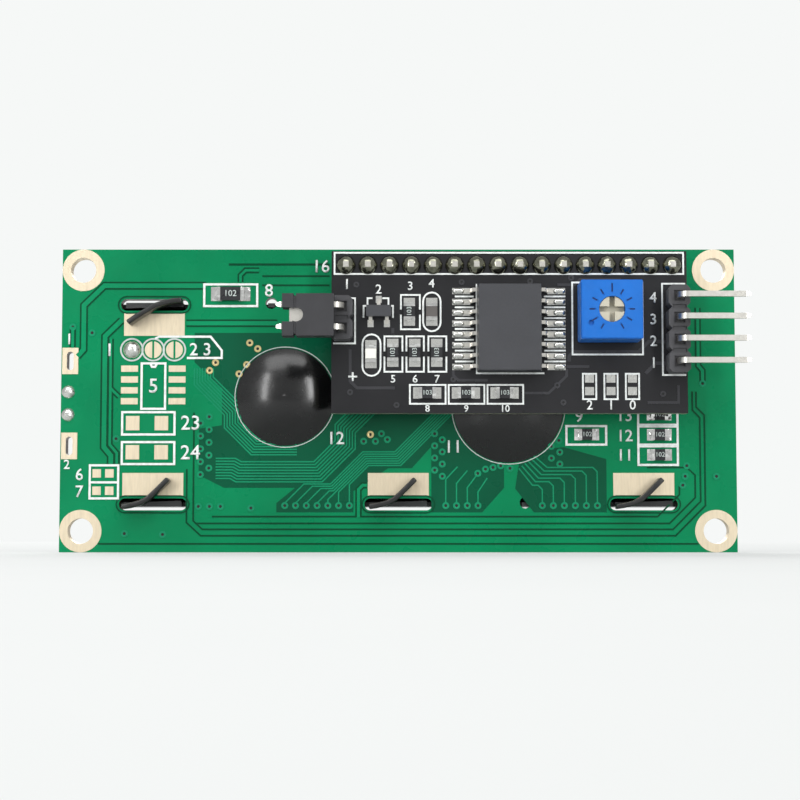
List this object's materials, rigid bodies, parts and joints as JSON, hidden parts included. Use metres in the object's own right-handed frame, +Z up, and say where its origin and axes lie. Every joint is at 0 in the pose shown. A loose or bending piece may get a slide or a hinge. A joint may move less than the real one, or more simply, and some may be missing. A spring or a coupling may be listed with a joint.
{
  "type": "character lcd module",
  "caption": "Two-line blue character display in a black bezel on a green board, with a serial adapter board soldered along its top edge.",
  "frame": {"origin": "centre of the four corner holes, on the front face of the green board", "axes": "+X to the reader's right, +Z up, the display faces -Y"},
  "size_m": [0.0804, 0.0178, 0.036],
  "materials": {
    "board_green": "glossy solder resist over fibreglass",
    "plated_land": "pale plated copper, satin",
    "bezel_black": "black satin paint on stamped steel",
    "polarizer_blue": "smooth film",
    "clear_glass": "clear",
    "cell_seal": "cured seal",
    "zebra_rubber": "layered conductive rubber",
    "white_film": "white reflective film",
    "guide_acrylic": "moulded acrylic",
    "lamp_white": "white lamp body",
    "solder": "bright solder",
    "epoxy_black": "glossy cured epoxy",
    "resistor_black": "glazed film over ceramic",
    "chip_end_metal": "tinned ends",
    "header_black": "moulded nylon",
    "pin_metal": "tinned pin",
    "adapter_black": "black solder resist over fibreglass",
    "chip_body": "moulded epoxy, fine matt",
    "trimmer_blue": "moulded blue plastic",
    "rotor_cream": "moulded cream plastic",
    "contact_metal": "sprung contact metal",
    "element_ceramic": "ceramic plate",
    "capacitor_tan": "fired ceramic"
  },
  "bodies": {
    "module": {"display_board": "board_green", "board_lands": "plated_land", "bezel": "bezel_black", "front_polarizer": "polarizer_blue", "cell_front_glass": "clear_glass", "cell_seal": "cell_seal", "cell_rear_glass": "clear_glass", "rear_polarizer": "polarizer_blue", "elastomer_strip_upper": "zebra_rubber", "elastomer_strip_lower": "zebra_rubber", "diffuser_sheet": "white_film", "light_guide": "guide_acrylic", "tab_film": "white_film", "reflector_sheet": "white_film", "backlight_lamp": "lamp_white", "lamp_leads": "solder", "controller_dome": "epoxy_black", "driver_dome": "epoxy_black", "solder_bridge": "solder", "board_resistor_ends": "chip_end_metal", "header_spacer": "header_black", "header_pins": "pin_metal", "header_solder_front": "solder", "header_solder_back": "solder", "adapter_board": "adapter_black", "adapter_lands": "solder", "expander_body": "chip_body", "expander_leads": "pin_metal", "trimmer_housing": "trimmer_blue", "trimmer_element": "element_ceramic", "trimmer_legs": "pin_metal", "transistor_body": "chip_body", "transistor_leads": "pin_metal", "power_lamp": "lamp_white", "power_lamp_ends": "chip_end_metal", "capacitor_body": "capacitor_tan", "adapter_chip_ends": "chip_end_metal", "bus_header_block": "header_black", "bus_header_pins": "pin_metal", "jumper_header_block": "header_black", "jumper_header_pins": "pin_metal", "adapter_joints": "solder", "board_resistor_1": "resistor_black", "board_resistor_2": "resistor_black", "board_resistor_3": "resistor_black", "board_resistor_4": "resistor_black", "board_resistor_5": "resistor_black", "adapter_resistor_1": "resistor_black", "adapter_resistor_2": "resistor_black", "adapter_resistor_3": "resistor_black", "adapter_resistor_4": "resistor_black", "adapter_resistor_5": "resistor_black", "adapter_resistor_6": "resistor_black", "adapter_resistor_7": "resistor_black"},
    "rotor": {"trimmer_rotor": "rotor_cream", "trimmer_wiper": "contact_metal"},
    "jumper": {"jumper_cap": "header_black", "jumper_clip": "pin_metal"}
  },
  "joints": [
    {"name": "contrast_turn", "type": "hinge", "parent": "module", "child": "rotor", "pos_m": [-0.0244, 0.01, 0.00975], "axis": [0, 1, 0], "range_deg": [-130, 130]},
    {"name": "jumper_pull", "type": "slide", "parent": "module", "child": "jumper", "axis": [1, 0, 0], "range_m": [0, 0.0075]}
  ]
}
